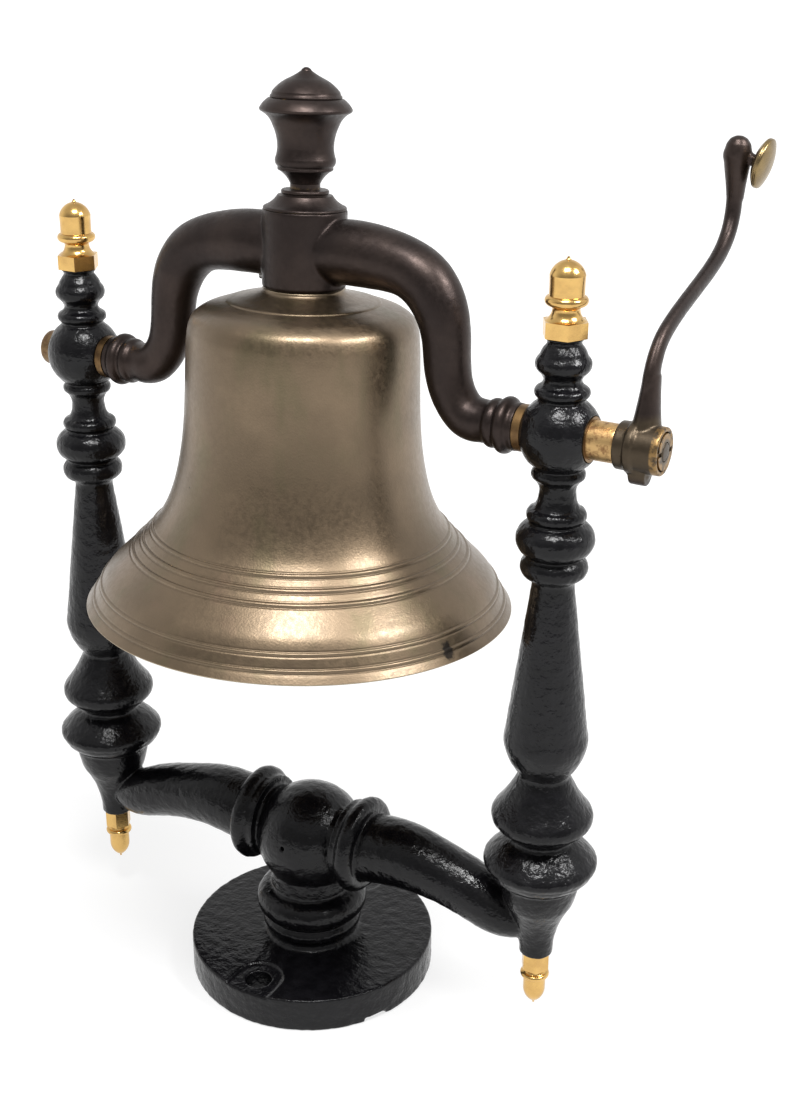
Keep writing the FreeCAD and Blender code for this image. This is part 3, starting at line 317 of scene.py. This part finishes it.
HANGING = Matrix.Translation(TRUNNION) @ Matrix.Rotation(-HANG_ANGLE, 4, "X") @ Matrix.Scale(0.001, 4)
BELL_OUTSIDE = [
    (215.6, -217.6), (212.4, -213.6), (208.4, -208.6), (201.4, -195.6), (194.0, -184.2), (185.0, -174.9),
    (169.6, -160.2), (159.0, -149.6), (149.8, -138.8), (141.0, -127.2), (133.2, -112.0), (127.2, -95.0),
    (122.4, -75.0), (118.6, -52.0), (116.0, -24.0), (114.6, 8.0), (113.9, 32.0), (112.9, 50.5),
    (111.3, 62.5), (107.2, 72.6), (98.0, 79.8), (86.0, 84.4), (75.6, 87.3),
]
BELL_CROWN = [
    (74.8, 87.5), (73.9, 88.5), (60.0, 91.3), (45.0, 95.5), (41.4, 97.2), (39.8, 99.0), (39.8, 100.5),
]
BELL_SEAT = [(30.0, 100.5), (30.0, 108.5), (13.4, 108.5), (13.4, 79.0)]
BELL_INSIDE = [
    (60.0, 79.0), (78.0, 78.6), (92.0, 69.0), (99.0, 45.0), (101.0, 10.0), (102.4, -20.0), (105.6, -58.0),
    (112.6, -100.0), (127.0, -136.0), (146.4, -160.6), (170.0, -194.0), (188.0, -207.6), (205.0, -217.3),
    (210.0, -219.1), (214.4, -218.9),
]
BELL_LINES = (-138.4, -149.5, -159.6, -194.5, -208.0)
BELL_SEGMENTS = 288
LINE_RISE = 1.15
LINE_HALF_WIDTH = 1.5
# Offset from the line's level, width and depth
LINE_GROOVES = ((-2.2, 0.65, 0.55), (2.2, 0.6, 0.25))


def curve_through(knots, step):
    """A smooth line through the knots, in even steps."""
    points = np.array(knots)
    spans = np.sqrt(np.linalg.norm(np.diff(points, axis=0), axis=1))
    times = np.concatenate([[0.0], np.cumsum(spans)])
    slopes = np.gradient(points, times, axis=0)
    line = []
    for index, span in enumerate(spans):
        count = max(2, round(span * span / step))
        t = np.arange(count)[:, None] / count
        start, end = points[index], points[index + 1]
        line.append(
            (2 * t**3 - 3 * t**2 + 1) * start + (t**3 - 2 * t**2 + t) * span * slopes[index]
            + (3 * t**2 - 2 * t**3) * end + (t**3 - t**2) * span * slopes[index + 1]
        )
    line.append(points[-1:])
    return np.concatenate(line)


def with_lines(outside):
    """Raises a half-round line at each level, between two fine grooves."""
    along = np.gradient(outside, axis=0)
    outward = np.stack([along[:, 1], -along[:, 0]], axis=1)
    outward /= np.linalg.norm(outward, axis=1)[:, None]
    rise = np.zeros(len(outside))
    for level in BELL_LINES:
        above = outside[:, 1] - level
        rise += LINE_RISE * np.sqrt(np.clip(1 - (above / LINE_HALF_WIDTH) ** 2, 0, 1))
        for offset, width, depth in LINE_GROOVES:
            rise -= depth * np.exp(-((above - offset) / width) ** 2)
    return outside + outward * rise[:, None]


def turned_mesh(name, profile, segments, place):
    """A closed outline of (radius, level) turned about its axis."""
    around = np.linspace(0, 2 * math.pi, segments, endpoint=False)
    rings = np.empty((len(profile), segments, 3))
    rings[:, :, 0] = profile[:, :1] * np.cos(around)
    rings[:, :, 1] = profile[:, :1] * np.sin(around)
    rings[:, :, 2] = profile[:, 1:]
    numbers = np.arange(len(profile) * segments).reshape(len(profile), segments)
    after = np.roll(numbers, -1, axis=0)
    faces = np.stack([numbers, after, np.roll(after, -1, axis=1), np.roll(numbers, -1, axis=1)], axis=-1)
    mesh = bpy.data.meshes.new(name)
    mesh.from_pydata(rings.reshape(-1, 3).tolist(), [], faces.reshape(-1, 4).tolist())
    shape = bmesh.new()
    shape.from_mesh(mesh)
    bmesh.ops.recalc_face_normals(shape, faces=shape.faces)
    for face in shape.faces:
        face.smooth = True
    shape.transform(place)
    shape.to_mesh(mesh)
    shape.free()
    return mesh


def make_bell():
    outside = with_lines(curve_through(BELL_OUTSIDE, 0.5))
    crown = curve_through(BELL_CROWN, 1.0)
    inside = curve_through(BELL_INSIDE, 3.0)
    profile = np.concatenate([outside, crown, np.array(BELL_SEAT), inside])
    stand_in("bell", turned_mesh("bell_detailed", profile, BELL_SEGMENTS, HANGING))


# Blends of the crank: rings of (level, side, half width to the side, half thickness along the trunnions)
CRANK_PLANE = 352.5
CRANK_BLENDS = [
    [(-8, 2.0, 17.0, 13.5), (8, 3.4, 19.5, 14.5), (20, 4.8, 17.0, 12.6), (32, 5.8, 14.6, 10.8),
     (46, 7.0, 13.0, 9.2), (64, 9.0, 11.3, 7.6)],
    [(-30, 0.0, 7.5, 6.5), (-25, 0.0, 11.0, 9.0), (-16, 0.0, 14.5, 11.5), (-4, 0.0, 18.5, 13.0)],
    [(196, 192.6, 9.9, 7.8), (210, 190.6, 10.8, 9.4), (222, 189.2, 12.0, 11.2), (232, 188.0, 13.0, 12.8),
     (240, 187.5, 13.0, 13.0), (247, 187.2, 11.4, 11.4), (252, 187.0, 8.0, 8.0), (254.5, 186.9, 3.0, 3.0)],
]
BUTTON_DIP = math.radians(12.5)
BUTTON_CENTRE = HANGING @ Vector((352.0, 187.5, 237.0))
BUTTON_STEP_BACK = Vector((0.0012, 0.0, 0.0))
BOSS_START = 0.358
BOSS_REACH = 0.03
LEFT_POST_FACE = -0.3056
LEFT_END_SHARE = 0.53


def add_blend(shape, rings):
    """A closed tube through level ellipses, which the remesh melts into the casting."""
    segments = 32
    loops = []
    for level, side, wide, thick in rings:
        loop = []
        for index in range(segments):
            angle = 2 * math.pi * index / segments
            point = Vector((CRANK_PLANE + thick * math.cos(angle), side + wide * math.sin(angle), level))
            loop.append(shape.verts.new(HANGING @ point))
        loops.append(loop)
    for lower, upper in zip(loops, loops[1:]):
        for index in range(segments):
            after = (index + 1) % segments
            shape.faces.new((lower[index], lower[after], upper[after], upper[index]))
    shape.faces.new(list(reversed(loops[0])))
    shape.faces.new(loops[-1])


def dipped(point):
    """The button and its neck lean down a little, away from the crank's head."""
    return BUTTON_CENTRE + Matrix.Rotation(BUTTON_DIP, 3, "Y") @ (point - BUTTON_CENTRE) - BUTTON_STEP_BACK


def make_crank():
    shape = bmesh.new()
    shape.from_mesh(frame["nodes"]["crank"].data)
    for vertex in shape.verts:
        if vertex.co.x > BOSS_START and (vertex.co - BUTTON_CENTRE).length < BOSS_REACH:
            vertex.co = dipped(vertex.co)
    for rings in CRANK_BLENDS:
        add_blend(shape, rings)
    mesh = bpy.data.meshes.new("crank_detailed")
    shape.to_mesh(mesh)
    shape.free()
    return stand_in("crank", mesh)


def make_button():
    mesh = frame["nodes"]["rope_button"].data.copy()
    for vertex in mesh.vertices:
        vertex.co = dipped(vertex.co)
    stand_in("rope_button", mesh)


def make_yoke():
    """The yoke, with a shorter end to its left trunnion."""
    mesh = frame["nodes"]["yoke"].data.copy()
    for vertex in mesh.vertices:
        past = vertex.co.x - LEFT_POST_FACE
        if past < 0.0:
            vertex.co.x = LEFT_POST_FACE + past * LEFT_END_SHARE
    return stand_in("yoke", mesh)


# Castings: voxel size, rounds of smoothing, depth and width of the skin's unevenness
CASTINGS = {
    "cradle": (0.0014, 5, 0.0009, 0.009),
    "left_post": (0.0011, 3, 0.0008, 0.008),
    "right_post": (0.0011, 3, 0.0008, 0.008),
    "yoke": (0.0013, 5, 0.0003, 0.012),
    "crank": (0.0009, 14, 0.0002, 0.008),
}


def cast(piece, voxel, rounds, depth, width):
    """Rounds a casting's corners and gives it an uneven skin, inside its CAD shape."""
    skin = piece.modifiers.new("skin", "REMESH")
    skin.mode = "VOXEL"
    skin.voxel_size = voxel
    skin.use_smooth_shade = True
    rounding = piece.modifiers.new("rounding", "SMOOTH")
    rounding.factor = 0.5
    rounding.iterations = rounds
    lumps = bpy.data.textures.new(f"{piece.name}_lumps", "CLOUDS")
    lumps.noise_scale = width
    lumps.noise_depth = 1
    uneven = piece.modifiers.new("uneven", "DISPLACE")
    uneven.texture = lumps
    uneven.texture_coords = "LOCAL"
    uneven.strength = depth
    uneven.mid_level = 1.0


# Stage

def direction(azimuth, elevation):
    """A unit vector from its angle in plan, from +X to +Y, and its angle over the floor."""
    level = math.cos(elevation)
    return Vector((level * math.cos(azimuth), level * math.sin(azimuth), math.sin(elevation)))


def shown(tree, *rays):
    """1 for the kinds of ray that see a thing, and 0 for those that only carry its light."""
    path = add(tree, "LightPath").outputs
    total = path[rays[0]]
    for ray in rays[1:]:
        total = maths(tree, "MAXIMUM", total, path[ray])
    return total


def make_floor():
    half = FLOOR_SIZE / 2
    mesh = bpy.data.meshes.new("floor")
    corners = [(-half, -half, 0.0), (half, -half, 0.0), (half, half, 0.0), (-half, half, 0.0)]
    mesh.from_pydata(corners, [], [(0, 1, 2, 3)])
    floor = bpy.data.objects.new("floor", mesh)
    bpy.context.scene.collection.objects.link(floor)
    material, tree = new_material("floor")
    paper = add(tree, "BsdfDiffuse", {"Color": (FLOOR_GREY, FLOOR_GREY, FLOOR_GREY, 1.0)})
    distance = add(tree, "VectorMath", operation="LENGTH")
    tree.links.new(own_place(tree), distance.inputs[0])
    paleness = graded(tree, distance.outputs["Value"], 0.5, 2.5, 0.72, 1.0)
    seen = shown(tree, "Is Camera Ray", "Is Glossy Ray", "Is Transmission Ray")
    glow = add(tree, "Emission", {"Strength": maths(tree, "MULTIPLY", seen, paleness)})
    both = add(tree, "AddShader")
    tree.links.new(paper.outputs[0], both.inputs[0])
    tree.links.new(glow.outputs[0], both.inputs[1])
    output = add(tree, "OutputMaterial")
    tree.links.new(both.outputs[0], output.inputs["Surface"])
    mesh.materials.append(material)


def make_world():
    """White wherever it is seen. Metal mirrors the same white behind the object and at its sides, where the
    backdrop stands, a dim room in front of it and a pale ceiling."""
    world = bpy.data.worlds.new("studio")
    world.use_nodes = True
    tree = world.node_tree
    tree.nodes.clear()
    toward = add(tree, "TexCoord").outputs["Generated"]
    height = add(tree, "SeparateXYZ", {"Vector": toward}).outputs["Z"]
    front = direction(ROOM_AZIMUTH, 0.0)
    facing = add(tree, "VectorMath", operation="DOT_PRODUCT")
    tree.links.new(toward, facing.inputs[0])
    facing.inputs[1].default_value = front
    walls = graded(tree, facing.outputs["Value"], -0.25, 0.70, BACKDROP_STRENGTH, ROOM_STRENGTH)
    ceiling = graded(tree, height, 0.30, 0.85)
    room = add(tree, "Mix", data_type="FLOAT")
    for index, given in ((0, ceiling), (2, walls)):
        tree.links.new(given, room.inputs[index])
    room.inputs[3].default_value = CEILING_STRENGTH
    strength = add(tree, "Mix", data_type="FLOAT")
    for index, given in ((0, shown(tree, "Is Camera Ray", "Is Transmission Ray")), (2, room.outputs[0])):
        tree.links.new(given, strength.inputs[index])
    strength.inputs[3].default_value = 1.0
    sky = add(tree, "Background", {"Color": (1.0, 1.0, 1.0, 1.0), "Strength": strength.outputs[0]})
    output = add(tree, "OutputWorld")
    tree.links.new(sky.outputs[0], output.inputs["Surface"])
    bpy.context.scene.world = world


def make_lamp(name, azimuth, elevation, distance, width, height, power):
    lamp = bpy.data.lights.new(name, "AREA")
    lamp.shape = "RECTANGLE"
    lamp.size = width
    lamp.size_y = height
    lamp.energy = power
    holder = bpy.data.objects.new(name, lamp)
    bpy.context.scene.collection.objects.link(holder)
    toward = direction(math.radians(azimuth), math.radians(elevation))
    middle = Vector((0.0, 0.0, 0.5))
    holder.location = middle + toward * distance
    holder.rotation_euler = toward.to_track_quat("Z", "Y").to_euler()


def make_camera():
    back = direction(CAMERA_AZIMUTH - math.pi / 2, CAMERA_ELEVATION)
    right = Vector((math.cos(CAMERA_AZIMUTH), math.sin(CAMERA_AZIMUTH), 0.0))
    up = back.cross(right)
    turned = Matrix((right, up, back)).transposed().to_4x4() @ Matrix.Rotation(CAMERA_ROLL, 4, "Z")
    camera = bpy.data.cameras.new("camera")
    camera.lens = CAMERA_LENS
    holder = bpy.data.objects.new("camera", camera)
    bpy.context.scene.collection.objects.link(holder)
    holder.matrix_world = Matrix.Translation(CAMERA_TARGET + back * CAMERA_DISTANCE) @ turned
    bpy.context.scene.camera = holder


for node_name, node_object in frame["nodes"].items():
    dress(node_object.data, node_name)
make_bell()
make_button()
castings = {name: frame["nodes"][name] for name in ("cradle", "left_post", "right_post")}
castings["yoke"] = make_yoke()
castings["crank"] = make_crank()
for node_name, casting in castings.items():
    cast(casting, *CASTINGS[node_name])
make_floor()
make_world()
make_lamp("lamp_over_camera", -60.0, 66.0, 2.2, 0.8, 0.4, 38.0)
make_lamp("lamp_right", 6.0, 44.0, 2.2, 0.6, 0.5, 30.0)
make_camera()
bpy.context.scene.view_settings.view_transform = "Standard"
